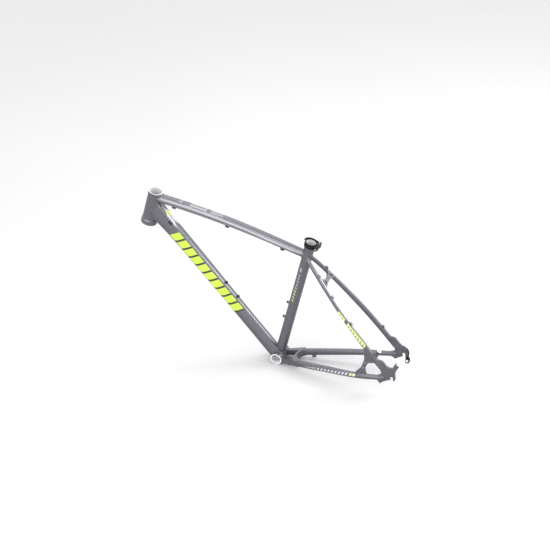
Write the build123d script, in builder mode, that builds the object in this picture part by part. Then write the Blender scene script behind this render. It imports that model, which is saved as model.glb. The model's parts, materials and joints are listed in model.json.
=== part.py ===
from build123d import *
import os
from math import cos, radians, sin

os.makedirs("parts", exist_ok=True)

# Aluminium hardtail mountain-bike frame. Millimetres.
# Origin: centre of the bottom bracket shell. +X rearwards, +Y to the rider's right, +Z up.

# ---------------------------------------------------------------- driving dimensions
seat_angle = 73.0  # from the ground line, leaning back
head_angle = 70.0
down_tube_angle = 51.85
seat_tube_length = 493.0  # shell centre to the tube's top edge
head_tube_length = 130.0
head_tube_foot = (-454.7, 467.1)  # X, Z of the head tube's lower face
chainstay_reach = 433.3  # rear axle behind the shell centre
bottom_bracket_drop = 41.0  # rear axle above the shell centre
hub_width = 135.0
dropout_thickness = 7.0
axle_slot = 10.0

shell_length, shell_radius, shell_bore = 73.0, 21.5, 17.4
seat_tube_radius, seatpost_bore = 17.45, 15.8
headset_top_bore, headset_bottom_bore, headset_depth = 22.0, 24.8, 14.0
top_tube_wall, down_tube_wall, stay_wall = 1.8, 1.8, 1.8
bottle_bolt_spacing = 64.0
post_mount_offset = 62.0  # the caliper bolts' distance from the centre plane

# ---------------------------------------------------------------- datum directions and planes
seat_up = Vector(cos(radians(seat_angle)), 0, sin(radians(seat_angle)))
seat_back = Vector(sin(radians(seat_angle)), 0, -cos(radians(seat_angle)))
head_up = Vector(cos(radians(head_angle)), 0, sin(radians(head_angle)))
head_back = Vector(sin(radians(head_angle)), 0, -cos(radians(head_angle)))
down_tube_up = Vector(-cos(radians(down_tube_angle)), 0, sin(radians(down_tube_angle)))
down_tube_top = Vector(sin(radians(down_tube_angle)), 0, cos(radians(down_tube_angle)))
head_foot = Vector(head_tube_foot[0], 0, head_tube_foot[1])
axle = Vector(chainstay_reach, 0, bottom_bracket_drop)

# Local X points back and local Z along the seat tube, from the shell centre.
seat_frame = Plane(origin=(0, 0, 0), x_dir=seat_back, z_dir=seat_up)
# Local X is the radius and local Y runs up the head tube's axis.
head_profile_plane = Plane(origin=head_foot, x_dir=head_back, z_dir=(0, -1, 0))


def across(point, along):
    """A plane square to a tube at a point, its local Y as upright as it can be."""
    along = Vector(along).normalized()
    upright = (Vector(0, 0, 1) - along * along.Z).normalized()
    return Plane(origin=point, x_dir=upright.cross(along), z_dir=along)


def six_sided(plane, top, side, bottom, radii, wall=0.0):
    """Hydroformed section. Each corner pair is (half-width, height); wall > 0 gives the inside."""
    with BuildSketch(plane) as section:
        with BuildLine():
            FilletPolyline(
                top,
                side,
                bottom,
                (-bottom[0], bottom[1]),
                (-side[0], side[1]),
                (-top[0], top[1]),
                radius=[radii[0], radii[1], radii[2], radii[2], radii[1], radii[0]],
                close=True,
            )
        make_face()
        if wall:
            offset(amount=-wall, kind=Kind.ARC)
    return section.sketch


def save(builder, label):
    """Names a finished piece and writes it as its own STEP file."""
    builder.part.label = label
    export_step(builder.part, f"parts/{label}.step")


# ---------------------------------------------------------------- places of the small fittings
down_tube_boss_middle, seat_tube_boss_middle = 287.8, 197.0  # along each tube from the shell
down_tube_top_height = 17.9  # the flat top of the down tube above its axis, at the bosses
boss_barrel_radius, bolt_radius = 4.0, 2.5
port_along, port_out, port_up = 602.0, 16.3, 12.4
port_normal = (down_tube_top * 0.309 + Vector(0, -0.951, 0)).normalized()
port_centre = down_tube_up * port_along + down_tube_top * port_up + Vector(0, -port_out, 0)
port_plane = Plane(origin=port_centre, x_dir=down_tube_up, z_dir=port_normal)
port_slot = (15.0, 7.0)


def boss_planes(along, middle, outward, height):
    """Planes on a tube's surface under a pair of bottle cage bolts."""
    half = bottle_bolt_spacing / 2
    return [
        Plane(origin=along * (middle + offset) + outward * height, x_dir=along, z_dir=outward)
        for offset in (-half, half)
    ]


down_tube_bosses = boss_planes(down_tube_up, down_tube_boss_middle, down_tube_top, down_tube_top_height)
seat_tube_bosses = boss_planes(seat_up, seat_tube_boss_middle, -seat_back, 17.45)

# ---------------------------------------------------------------- head tube
lip_bottom_radius, lip_top_radius = 28.75, 25.2
lip_bottom_height, lip_top_height = 17.0, 9.0
head_taper_bottom, head_taper_top = 26.1, 24.0
head_inside_bottom, head_inside_top = 23.8, 21.4
bore_chamfer, bore_run_out = 0.5, 1.5

with BuildPart() as head_tube_envelope:
    with BuildSketch(head_profile_plane):
        with BuildLine():
            Polyline(
                (0, 0),
                (lip_bottom_radius, 0),
                (lip_bottom_radius, lip_bottom_height - 2),
                (head_taper_bottom, lip_bottom_height + 3),
                (head_taper_top, head_tube_length - lip_top_height - 2),
                (lip_top_radius, head_tube_length - lip_top_height),
                (lip_top_radius, head_tube_length),
                (0, head_tube_length),
                close=True,
            )
        make_face()
    revolve(axis=Axis(head_foot, head_up))

with BuildPart() as head_tube:
    add(head_tube_envelope.part)
    with BuildSketch(head_profile_plane):
        with BuildLine():
            Polyline(
                (0, 0),
                (headset_bottom_bore + bore_chamfer, 0),
                (headset_bottom_bore, bore_chamfer),
                (headset_bottom_bore, headset_depth),
                (head_inside_bottom, headset_depth + bore_run_out),
                (head_inside_top, head_tube_length - headset_depth - bore_run_out),
                (headset_top_bore, head_tube_length - headset_depth),
                (headset_top_bore, head_tube_length - bore_chamfer),
                (headset_top_bore + bore_chamfer, head_tube_length),
                (0, head_tube_length),
                close=True,
            )
        make_face()
    revolve(axis=Axis(head_foot, head_up), mode=Mode.SUBTRACT)
save(head_tube, "head_tube")

# ---------------------------------------------------------------- bottom bracket shell
thread_length = 24.0
shell_relief = 18.3

with BuildPart() as shell_envelope:
    with BuildSketch(Plane.XZ):
        Circle(shell_radius)
    extrude(amount=shell_length / 2, both=True)

with BuildPart() as bb_shell:
    add(shell_envelope.part)
    chamfer(bb_shell.edges().filter_by(GeomType.CIRCLE), 0.8)
    with BuildSketch(Plane.XZ):
        Circle(shell_bore)
    extrude(amount=shell_length / 2, both=True, mode=Mode.SUBTRACT)
    with BuildSketch(Plane.XZ):
        Circle(shell_relief)
    extrude(amount=shell_length / 2 - thread_length, both=True, mode=Mode.SUBTRACT)
save(bb_shell, "bb_shell")

# ---------------------------------------------------------------- seat tube
reamed_depth = 220.0
seat_tube_inside = 16.05
slot_width, slot_length = 3.0, 34.0

with BuildPart() as seat_tube_envelope:
    with BuildSketch(seat_frame):
        Circle(seat_tube_radius)
    extrude(amount=seat_tube_length)

with BuildPart() as seat_tube:
    add(seat_tube_envelope.part)
    with BuildSketch(seat_frame.offset(seat_tube_length - reamed_depth)):
        Circle(seatpost_bore)
    extrude(amount=reamed_depth, mode=Mode.SUBTRACT)
    with BuildSketch(seat_frame):
        Circle(seat_tube_inside)
    extrude(amount=seat_tube_length - reamed_depth, mode=Mode.SUBTRACT)
    # Clamping slot down the back of the tube, ending in a stress-relief hole.
    with BuildSketch(Plane(origin=(0, 0, 0), x_dir=(0, 1, 0), z_dir=seat_back)):
        with Locations((0, seat_tube_length - slot_length / 2)):
            Rectangle(slot_width, slot_length)
        with Locations((0, seat_tube_length - slot_length)):
            Circle(slot_width * 0.8)
    extrude(amount=seat_tube_radius + 5, mode=Mode.SUBTRACT)
    for plane in seat_tube_bosses:
        with BuildSketch(plane.offset(-6)):
            Circle(boss_barrel_radius)
        extrude(amount=12, mode=Mode.SUBTRACT)
    add(shell_envelope.part, mode=Mode.SUBTRACT)
save(seat_tube, "seat_tube")

# ---------------------------------------------------------------- top tube
top_tube_slope = 18.0  # at the seat tube
top_tube_rear = seat_up * 442.0
top_tube_front = head_foot + head_up * 106.0
top_tube_bend_start = top_tube_rear + Vector(
    -cos(radians(top_tube_slope)), 0, sin(radians(top_tube_slope))
) * 130.0

with BuildLine() as top_tube_route:
    top_tube_straight = Line(top_tube_rear, top_tube_bend_start)
    TangentArc(top_tube_bend_start, top_tube_front, tangent=top_tube_straight % 1)
top_tube_line = Wire(top_tube_route.edges().sort_by(Axis.X, reverse=True))


def top_tube_section(fraction, wall=0.0):
    """Top tube section at a fraction of its route, from the seat tube to the head tube."""
    plane = across(top_tube_line @ fraction, top_tube_line % fraction)
    grow = min(fraction * 1.6, 1.0)  # grows over the rear 60% of the tube
    top = (6.8 + 2.4 * grow, 12.8 + 1.4 * grow)
    side = (14.2 + 4.6 * grow, 0.6)
    bottom = (6.5 + 1.9 * grow, -12.8 - 1.4 * grow)
    return six_sided(plane, top, side, bottom, (4.2, 3.6, 5.0), wall)


top_tube_stations = [0, 0.15, 0.3, 0.45, 0.65, 0.85, 1]

with BuildPart() as top_tube_envelope:
    loft(sections=[top_tube_section(fraction) for fraction in top_tube_stations])

with BuildPart() as top_tube:
    add(top_tube_envelope.part)
    inside = [top_tube_section(fraction, top_tube_wall) for fraction in top_tube_stations]
    loft(sections=inside, mode=Mode.SUBTRACT)
    add(head_tube_envelope.part, mode=Mode.SUBTRACT)
    add(seat_tube_envelope.part, mode=Mode.SUBTRACT)
save(top_tube, "top_tube")

# ---------------------------------------------------------------- down tube
down_tube_low, down_tube_high = 34.0, 112.0  # where it meets the head tube's axis, from the foot


def down_tube_sections(wall=0.0):
    """The down tube's sections, from the shell to the head tube's axis."""
    round_off = (11.0, 13.0, 13.0)
    crisp = (5.0, 9.0, 10.0)
    rows = [
        (0, (11, 17), (25, -4), (19, -25), round_off),
        (60, (11, 17), (25, -4), (19, -25), round_off),
        (190, (10.5, 17.3), (23.5, -5), (18.5, -24.5), (8.0, 11.0, 11.0)),
        (320, (11.5, 18.2), (22.5, -6), (18, -24.8), (6.0, 9.0, 10.0)),
        (450, (12.7, 19.3), (22.3, -7), (17.5, -25.5), crisp),
        (560, (13.3, 19.6), (22.8, -8), (17.8, -28), crisp),
    ]
    sections = []
    for distance, top, side, bottom, radii in rows:
        plane = across(down_tube_up * distance, down_tube_up)
        sections.append(six_sided(plane, top, side, bottom, radii, wall))
    middle = (down_tube_low + down_tube_high) / 2
    half = (down_tube_high - down_tube_low) / 2
    joint_plane = across(head_foot + head_up * middle, -head_back)
    sections.append(six_sided(joint_plane, (14.5, half), (23.4, -8), (18.5, -half), crisp, wall))
    return sections


with BuildPart() as down_tube_envelope:
    loft(sections=down_tube_sections())

with BuildPart() as down_tube:
    add(down_tube_envelope.part)
    loft(sections=down_tube_sections(down_tube_wall), mode=Mode.SUBTRACT)
    for plane in down_tube_bosses:
        with BuildSketch(plane.offset(-6)):
            Circle(boss_barrel_radius)
        extrude(amount=12, mode=Mode.SUBTRACT)
    with BuildSketch(port_plane.offset(-6)):
        SlotOverall(*port_slot)
    extrude(amount=12, mode=Mode.SUBTRACT)
    for neighbour in (head_tube_envelope, top_tube_envelope, shell_envelope, seat_tube_envelope):
        add(neighbour.part, mode=Mode.SUBTRACT)
save(down_tube, "down_tube")

# ---------------------------------------------------------------- chainstay yoke
yoke_tilt = 5.0  # the stays climb towards the axle
yoke_length, yoke_half_height = 84.0, 12.5
yoke_frame = Plane(
    origin=(0, 0, -5), x_dir=(cos(radians(yoke_tilt)), 0, sin(radians(yoke_tilt))), z_dir=(0, 1, 0)
)
yoke_side_view = Plane(origin=yoke_frame.origin, x_dir=yoke_frame.x_dir, z_dir=(0, -1, 0))
yoke_top_view = Plane(origin=yoke_frame.origin, x_dir=yoke_frame.x_dir, z_dir=-yoke_frame.y_dir)

with BuildPart() as chainstay_yoke:
    with BuildSketch(yoke_top_view):
        with BuildLine():
            FilletPolyline(
                (8, 33),
                (30, 33.5),
                (yoke_length, 43.5),
                (yoke_length, 27.5),
                (76, 22),
                (66, 0),
                (76, -22),
                (yoke_length, -27.5),
                (yoke_length, -43.5),
                (30, -33.5),
                (8, -33),
                radius=[0, 20, 0, 0, 9, 22, 9, 0, 0, 20, 0],
                close=True,
            )
        make_face()
    extrude(amount=yoke_half_height, both=True)
    # Lightening pocket right through, between the two rails.
    with BuildSketch(yoke_top_view):
        with BuildLine():
            FilletPolyline(
                (20, 19),
                (66, 24),
                (59, 0),
                (66, -24),
                (20, -19),
                radius=[4, 5, 20, 5, 4],
                close=True,
            )
        make_face()
    extrude(amount=yoke_half_height + 5, both=True, mode=Mode.SUBTRACT)
    # Seen from the side, the rails deepen from the shell to the stays.
    with BuildSketch(yoke_side_view):
        Polygon(
            (0, -10.5),
            (yoke_length, -yoke_half_height),
            (yoke_length, yoke_half_height),
            (0, 6.5),
            align=None,
        )
    extrude(amount=60, both=True, mode=Mode.INTERSECT)
    add(shell_envelope.part, mode=Mode.SUBTRACT)
    add(seat_tube_envelope.part, mode=Mode.SUBTRACT)
save(chainstay_yoke, "chainstay_yoke")

# ---------------------------------------------------------------- chainstays and seatstays
chainstay_route = [
    (72, 32.5, 0.5),
    (130, 43.5, 5.6),
    (200, 54.0, 12.6),
    (280, 65.5, 20.0),
    (350, 70.6, 27.2),
    (407, 71.0, 36.0),
]
chainstay_sizes = [(24.5, 15.8), (24.5, 15.5), (23.5, 15.5), (21.5, 15.0), (18.5, 14.0), (16.5, 12.5)]
seatstay_route = [
    (126, 8.5, 421),
    (160, 24.5, 380),
    (200, 39.0, 329),
    (250, 53.5, 265),
    (310, 65.5, 188.5),
    (370, 70.8, 111.5),
    (411, 71.0, 60.0),
]
seatstay_sizes = [(14.5, 13), (14.5, 13), (15, 13.5), (16.5, 14.5), (17.5, 15), (18.5, 14.5), (18.5, 12.5)]


def stay_sections(route, sizes, wall=0.0):
    """Sections square to a stay's route; each size is its depth and its width."""
    with BuildLine():
        spline = Spline(*route)
    sections = []
    for point, (depth, width) in zip(route, sizes):
        along = spline % spline.param_at_point(Vector(point))
        top = (width * 0.27, depth / 2)
        side = (width / 2, depth * 0.06)
        bottom = (width * 0.3, -depth / 2)
        sections.append(six_sided(across(point, along), top, side, bottom, (2.8, 3.0, 3.2), wall))
    return sections


def plug_end(route, length):
    """The route with its last point drawn back, so the hollow stops short of a solid end."""
    last, before = Vector(route[-1]), Vector(route[-2])
    return [*route[:-1], tuple(last + (before - last).normalized() * length)]


with BuildPart() as chainstay_envelope:
    loft(sections=stay_sections(chainstay_route, chainstay_sizes))

with BuildPart() as seatstay_envelope:
    loft(sections=stay_sections(seatstay_route, seatstay_sizes))

with BuildPart() as chainstay_hollow:
    loft(sections=stay_sections(plug_end(chainstay_route, 26), chainstay_sizes, stay_wall))

with BuildPart() as seatstay_hollow:
    loft(sections=stay_sections(plug_end(seatstay_route, 26), seatstay_sizes, stay_wall))

# ---------------------------------------------------------------- dropouts
clamp_face_radius, clamp_face_height = 11.0, 0.4
inner_face = hub_width / 2 + clamp_face_height  # the plates; the clamping faces stand in to the hub
slot_radius = axle_slot / 2
post_direction = Vector(0.49, 0, 0.872).normalized()
post_face_front = Vector(389.0, -post_mount_offset, 133.1)
post_face_rear = Vector(453.7, -post_mount_offset, 96.7)
post_radius, post_bore, post_bore_depth = 7.0, 2.6, 18.0

left_plate = Plane(origin=(0, -inner_face, 0), x_dir=(1, 0, 0), z_dir=(0, -1, 0))
right_plate = Plane(origin=(0, inner_face + dropout_thickness, 0), x_dir=(1, 0, 0), z_dir=(0, -1, 0))


def cut_axle_slot(plane, depth):
    """Slot for the axle, rounded at the top and open below."""
    with BuildSketch(plane) as slot:
        with Locations((axle.X, axle.Z)):
            Circle(slot_radius)
        with Locations((axle.X, axle.Z - 20)):
            Rectangle(axle_slot, 40)
    return extrude(slot.sketch, amount=depth)


with BuildPart() as dropout_left:
    with BuildSketch(left_plate):
        with BuildLine():
            FilletPolyline(
                (380, 26),
                (386, 20),
                (392, 10.5),
                (404, 21),
                (423, 31.5),
                (443, 31),
                (446.5, 38),
                (445, 56),
                (448, 72),
                (463, 97),
                (453, 103),
                (442, 84),
                (430, 78.5),
                (418, 82.5),
                (403, 102),
                (388, 104),
                (380, 92),
                (392, 73),
                (400, 52),
                (380, 38),
                radius=[2, 8, 2.5, 8, 3, 2, 4, 10, 20, 2, 2, 12, 12, 14, 3, 3, 3, 14, 5, 2],
                close=True,
            )
        make_face()
    extrude(amount=dropout_thickness)
    # Raised clamping faces, inside and outside.
    clamp_origin = (0, clamp_face_height - inner_face, 0)
    with BuildSketch(Plane(origin=clamp_origin, x_dir=(1, 0, 0), z_dir=(0, -1, 0))):
        with Locations((axle.X, axle.Z)):
            Circle(clamp_face_radius)
    extrude(amount=dropout_thickness + 2 * clamp_face_height)
    # Rear caliper post, carried inboard of the plate.
    with BuildSketch(Plane(origin=post_face_rear, x_dir=(0, 1, 0), z_dir=-post_direction)):
        Circle(post_radius)
    extrude(amount=24)
    slot_left = cut_axle_slot(
        Plane(origin=(0, -inner_face + 5, 0), x_dir=(1, 0, 0), z_dir=(0, -1, 0)), dropout_thickness + 10
    )
    add(slot_left, mode=Mode.SUBTRACT)
    with BuildSketch(Plane(origin=post_face_rear, x_dir=(0, 1, 0), z_dir=-post_direction)):
        Circle(post_bore)
    extrude(amount=post_bore_depth, mode=Mode.SUBTRACT)
save(dropout_left, "dropout_left")

# ---------------------------------------------------------------- right dropout and gear hanger
hanger_hole = Vector(444.7, 0, 14.2)
hanger_ring_radius, hanger_thread_radius = 9.3, 5.0
hanger_thickness, hanger_ring_thickness = 3.5, 7.5
hanger_bolt_places = [(441.5, 55.5), (430.5, 63.5)]
hanger_bolt_radius = 2.0
hanger_face = Plane(
    origin=(0, inner_face + dropout_thickness - hanger_thickness, 0), x_dir=(1, 0, 0), z_dir=(0, -1, 0)
)


def hanger_outline():
    """Outline of the replaceable hanger in side view, with its arm behind the axle slot."""
    with BuildSketch(hanger_face) as outline:
        with BuildLine():
            FilletPolyline(
                (426, 70),
                (433, 72.5),
                (438, 67.5),
                (448, 60),
                (451.5, 47),
                (449.5, 31),
                (454, 20),
                (453, 8),
                (444, 4.5),
                (436, 9),
                (436.5, 21),
                (438.3, 30),
                (438.3, 45),
                (431, 49),
                (424, 58),
                radius=[3, 3, 2, 8, 14, 8, 8, 8, 8, 8, 6, 4, 3, 4, 3],
                close=True,
            )
        make_face()
    return outline.sketch


with BuildPart() as dropout_right:
    with BuildSketch(right_plate):
        with BuildLine():
            FilletPolyline(
                (380, 26),
                (394, 21.5),
                (402, 15.5),
                (415, 23.5),
                (424, 28.5),
                (443, 31),
                (448, 40),
                (447, 57),
                (438, 66),
                (432, 73),
                (420, 79),
                (403, 101),
                (388, 104),
                (380, 92),
                (399, 70),
                (404, 54),
                (396, 45),
                (380, 38),
                radius=[2, 8, 3, 10, 4, 3, 8, 6, 3, 5, 14, 3, 3, 3, 10, 6, 3, 2],
                close=True,
            )
        make_face()
    extrude(amount=dropout_thickness)
    # Raised clamping face inside; the outer one is on the hanger's side.
    inner_clamp = Plane(origin=(0, inner_face - clamp_face_height, 0), x_dir=(1, 0, 0), z_dir=(0, 1, 0))
    with BuildSketch(inner_clamp):
        with Locations((axle.X, -axle.Z)):
            Circle(clamp_face_radius)
    extrude(amount=dropout_thickness + clamp_face_height)
    # Pocket for the hanger in the outer face.
    with BuildSketch(hanger_face):
        with BuildLine():
            FilletPolyline(
                (424, 58), (431, 49), (440, 45), (440, 26), (460, 26), (460, 80), (426, 80), (424, 72),
                radius=[3, 3, 3, 0, 0, 0, 0, 0],
                close=True,
            )
        make_face()
    extrude(amount=-hanger_thickness - 5, mode=Mode.SUBTRACT)
    slot_right = cut_axle_slot(
        Plane(origin=(0, inner_face + 12, 0), x_dir=(1, 0, 0), z_dir=(0, -1, 0)), 20
    )
    add(slot_right, mode=Mode.SUBTRACT)
    with BuildSketch(hanger_face.offset(5)):
        with Locations(*hanger_bolt_places):
            Circle(hanger_bolt_radius)
    extrude(amount=-20, mode=Mode.SUBTRACT)
save(dropout_right, "dropout_right")

with BuildPart() as derailleur_hanger:
    extrude(hanger_outline(), amount=-hanger_thickness)
    # The threaded ring is thicker than the arm, towards the inside.
    with BuildSketch(hanger_face.offset(hanger_ring_thickness - hanger_thickness)):
        with Locations((hanger_hole.X, hanger_hole.Z)):
            Circle(hanger_ring_radius)
    extrude(amount=-hanger_ring_thickness)
    with BuildSketch(hanger_face.offset(20)):
        with Locations((hanger_hole.X, hanger_hole.Z)):
            Circle(hanger_thread_radius)
        with Locations(*hanger_bolt_places):
            Circle(hanger_bolt_radius)
    extrude(amount=-40, mode=Mode.SUBTRACT)
    add(slot_right, mode=Mode.SUBTRACT)
    add(dropout_right.part, mode=Mode.SUBTRACT)
save(derailleur_hanger, "derailleur_hanger")

outer_right = Plane(
    origin=(0, inner_face + dropout_thickness, 0), x_dir=(1, 0, 0), z_dir=(0, 1, 0)
)
with BuildPart() as hanger_bolts:
    for x, z in hanger_bolt_places:
        with BuildSketch(outer_right):
            with Locations((x, -z)):
                Circle(3.4)
        extrude(amount=1.6)
        with BuildSketch(outer_right):
            with Locations((x, -z)):
                Circle(hanger_bolt_radius)
        extrude(amount=-dropout_thickness)
        with BuildSketch(outer_right.offset(1.6)):
            with Locations((x, -z)):
                RegularPolygon(1.25, 6, major_radius=False)
        extrude(amount=-1.2, mode=Mode.SUBTRACT)
save(hanger_bolts, "hanger_bolts")

# ---------------------------------------------------------------- stays, slotted over the plates
yoke_end = Plane(origin=yoke_frame.origin + yoke_frame.x_dir * yoke_length, z_dir=yoke_frame.x_dir)


def about_centre(part):
    """The same piece on the other side of the bike."""
    return mirror(part, about=Plane.XZ)


with BuildPart() as chainstay_right:
    add(chainstay_envelope.part)
    add(chainstay_hollow.part, mode=Mode.SUBTRACT)
    split(bisect_by=yoke_end, keep=Keep.TOP)
    add(dropout_right.part, mode=Mode.SUBTRACT)
save(chainstay_right, "chainstay_right")

chainstay_left_envelope = about_centre(chainstay_envelope.part)
with BuildPart() as chainstay_left:
    add(chainstay_left_envelope)
    add(about_centre(chainstay_hollow.part), mode=Mode.SUBTRACT)
    split(bisect_by=yoke_end, keep=Keep.TOP)
    add(dropout_left.part, mode=Mode.SUBTRACT)
save(chainstay_left, "chainstay_left")

with BuildPart() as seatstay_right:
    add(seatstay_envelope.part)
    add(seatstay_hollow.part, mode=Mode.SUBTRACT)
    for neighbour in (seat_tube_envelope, top_tube_envelope, dropout_right):
        add(neighbour.part, mode=Mode.SUBTRACT)
save(seatstay_right, "seatstay_right")

seatstay_left_envelope = about_centre(seatstay_envelope.part)
with BuildPart() as seatstay_left:
    add(seatstay_left_envelope)
    add(about_centre(seatstay_hollow.part), mode=Mode.SUBTRACT)
    for neighbour in (seat_tube_envelope, top_tube_envelope, dropout_left):
        add(neighbour.part, mode=Mode.SUBTRACT)
save(seatstay_left, "seatstay_left")

# ---------------------------------------------------------------- seatstay bridge
bridge_centre = Vector(194, 0, 340)
bridge_normal = Vector(0.785, 0, 0.62).normalized()
bridge_plane = Plane(origin=bridge_centre, x_dir=(0, 1, 0), z_dir=bridge_normal)
bridge_thickness = 8.0

with BuildPart() as seatstay_bridge:
    # Hourglass web: broad at each stay, narrow in the middle. Local Y runs up the stays.
    with BuildSketch(bridge_plane):
        with BuildLine():
            left_top, right_top = (-32, 24), (32, 24)
            left_bottom, right_bottom = (-46, -22), (46, -22)
            ThreePointArc(left_top, (0, 5.5), right_top)
            Line(right_top, right_bottom)
            ThreePointArc(right_bottom, (0, -6.5), left_bottom)
            Line(left_bottom, left_top)
        make_face()
    extrude(amount=bridge_thickness / 2, both=True)
    # Triangular pockets in the broad ends, front and back.
    for side in (-1, 1):
        for height in (bridge_thickness / 2, -bridge_thickness / 2):
            with BuildSketch(bridge_plane.offset(height)):
                with BuildLine():
                    FilletPolyline(
                        (side * 14, 0), (side * 29, 10), (side * 33, -9), radius=2.2, close=True
                    )
                make_face()
            extrude(amount=2.6 if height < 0 else -2.6, mode=Mode.SUBTRACT)
    add(seatstay_envelope.part, mode=Mode.SUBTRACT)
    add(seatstay_left_envelope, mode=Mode.SUBTRACT)
    # Only the web between the stays is kept.
    with BuildSketch(bridge_plane.offset(-30)):
        with BuildLine():
            Polyline((-24, 40), (24, 40), (42, -40), (-42, -40), close=True)
        make_face()
    extrude(amount=60, mode=Mode.INTERSECT)
save(seatstay_bridge, "seatstay_bridge")

# ---------------------------------------------------------------- disc brake brace and front post
brace_thickness = 5.0
brace_middle = 71.0
brace_plane = Plane(origin=(0, -brace_middle - brace_thickness / 2, 0), x_dir=(1, 0, 0), z_dir=(0, -1, 0))
brace_hole_radius = 3.2

with BuildPart() as disc_brace:
    with BuildSketch(brace_plane):
        with BuildLine():
            FilletPolyline(
                (340, 150),
                (339.5, 96),
                (327, 62),
                (303, 34),
                (318, 22),
                (350, 30),
                (343, 46),
                (342, 62),
                (352, 84),
                (376, 91),
                (388, 74),
                (388, 100),
                (350, 150),
                radius=[2, 30, 30, 3, 3, 3, 6, 14, 12, 8, 3, 3, 3],
                close=True,
            )
        make_face()
    extrude(amount=-brace_thickness)
    with BuildSketch(brace_plane.offset(5)):
        with Locations((342.0, 82.0), (333.5, 59.5)):
            Circle(brace_hole_radius)
    extrude(amount=-brace_thickness - 10, mode=Mode.SUBTRACT)
    add(seatstay_left_envelope, mode=Mode.SUBTRACT)
    add(chainstay_left_envelope, mode=Mode.SUBTRACT)
save(disc_brace, "disc_brace")

with BuildPart() as brake_post_front:
    with BuildSketch(Plane(origin=post_face_front, x_dir=(0, 1, 0), z_dir=-post_direction)):
        Circle(post_radius)
    extrude(amount=26)
    # Foot that reaches out to the stay.
    foot_origin = post_face_front - post_direction * 9
    with BuildSketch(Plane(origin=foot_origin, x_dir=(0, 1, 0), z_dir=-post_direction)):
        with Locations((-5, 0)):
            Rectangle(10, 11)
    extrude(amount=15)
    add(seatstay_left_envelope, mode=Mode.SUBTRACT)
    with BuildSketch(Plane(origin=post_face_front, x_dir=(0, 1, 0), z_dir=-post_direction)):
        Circle(post_bore)
    extrude(amount=post_bore_depth, mode=Mode.SUBTRACT)
save(brake_post_front, "brake_post_front")

# ---------------------------------------------------------------- bottle cage bosses and bolts
boss_flange_radius, boss_height, boss_depth = 5.6, 3.4, 5.0
bolt_head_radius, bolt_head_height, bolt_reach = 4.4, 4.6, 8.0


def bottle_boss(plane, tube):
    """Threaded boss: a flange on the tube and a barrel through its wall."""
    with BuildPart() as flange:
        with BuildSketch(plane.offset(-3)):
            Circle(boss_flange_radius)
        extrude(amount=3 + boss_height, taper=3)
        add(tube, mode=Mode.SUBTRACT)
    with BuildPart() as boss:
        add(flange.part)
        with BuildSketch(plane.offset(-boss_depth)):
            Circle(boss_barrel_radius)
        extrude(amount=boss_depth + 1)
        with BuildSketch(plane.offset(-boss_depth)):
            Circle(bolt_radius)
        extrude(amount=boss_depth + boss_height + 5, mode=Mode.SUBTRACT)
    return boss.part


def bottle_bolt(plane):
    """Socket-head bolt standing on its boss."""
    seat = plane.offset(boss_height)
    with BuildPart() as bolt:
        with BuildSketch(seat):
            Circle(bolt_head_radius)
        extrude(amount=bolt_head_height)
        chamfer(bolt.edges().filter_by(GeomType.CIRCLE), 0.5)
        with BuildSketch(seat.offset(bolt_head_height)):
            RegularPolygon(2.0, 6, major_radius=False)
        extrude(amount=-2.6, mode=Mode.SUBTRACT)
        with BuildSketch(seat):
            Circle(bolt_radius)
        extrude(amount=-bolt_reach)
    return bolt.part


for tube_name, planes, envelope in (
    ("down_tube", down_tube_bosses, down_tube_envelope),
    ("seat_tube", seat_tube_bosses, seat_tube_envelope),
):
    with BuildPart() as bottle_bosses:
        for plane in planes:
            add(bottle_boss(plane, envelope.part))
    save(bottle_bosses, f"{tube_name}_bottle_bosses")
    with BuildPart() as bottle_bolts:
        for plane in planes:
            add(bottle_bolt(plane))
    save(bottle_bolts, f"{tube_name}_bottle_bolts")

# ---------------------------------------------------------------- cable port
port_rim_width, port_rim_height = 2.2, 1.4
port_lip = 1.0

with BuildPart() as cable_port_rim:
    with BuildSketch(port_plane.offset(-4)):
        SlotOverall(port_slot[0] + 2 * port_rim_width, port_slot[1] + 2 * port_rim_width)
        SlotOverall(*port_slot, mode=Mode.SUBTRACT)
    extrude(amount=4 + port_rim_height)
    add(down_tube_envelope.part, mode=Mode.SUBTRACT)
save(cable_port_rim, "cable_port_rim")

with BuildPart() as cable_port_grommet:
    with BuildSketch(port_plane.offset(-3.5)):
        SlotOverall(*port_slot)
    extrude(amount=3.5 + port_rim_height)
    with BuildSketch(port_plane.offset(port_rim_height)):
        SlotOverall(port_slot[0] + 2 * port_lip, port_slot[1] + 2 * port_lip)
    extrude(amount=0.9)
    # Two hose holes that lean forwards along the tube.
    lean = (port_normal - down_tube_up * 0.9).normalized()
    for shift in (-3.0, 3.4):
        with BuildSketch(Plane(origin=port_centre + down_tube_up * shift - lean * 8, z_dir=lean)):
            Circle(1.9)
        extrude(amount=16, mode=Mode.SUBTRACT)
save(cable_port_grommet, "cable_port_grommet")

# ---------------------------------------------------------------- cable guides
tie_trough_radius = 2.8


def tie_guide(foot, along, outward, length, width, height):
    """Small bridge with a cross slot for a cable tie and a trough for the hose on top."""
    along, outward = Vector(along).normalized(), Vector(outward).normalized()
    side = Plane(origin=foot, x_dir=along, z_dir=along.cross(outward))
    with BuildPart() as guide:
        with BuildSketch(side):
            with BuildLine():
                FilletPolyline(
                    (-length / 2, -3),
                    (length / 2, -3),
                    (length / 2 - 1.8, height),
                    (-length / 2 + 1.8, height),
                    radius=[0, 0, 2.2, 2.2],
                    close=True,
                )
            make_face()
        extrude(amount=width / 2, both=True)
        with BuildSketch(side):
            with Locations((0, height * 0.4)):
                SlotOverall(length * 0.5, height * 0.42)
        extrude(amount=width, both=True, mode=Mode.SUBTRACT)
        with BuildSketch(Plane(origin=foot + outward * (height + 1.2), z_dir=along)):
            Circle(tie_trough_radius)
        extrude(amount=length, both=True, mode=Mode.SUBTRACT)
    return guide.part


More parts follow.
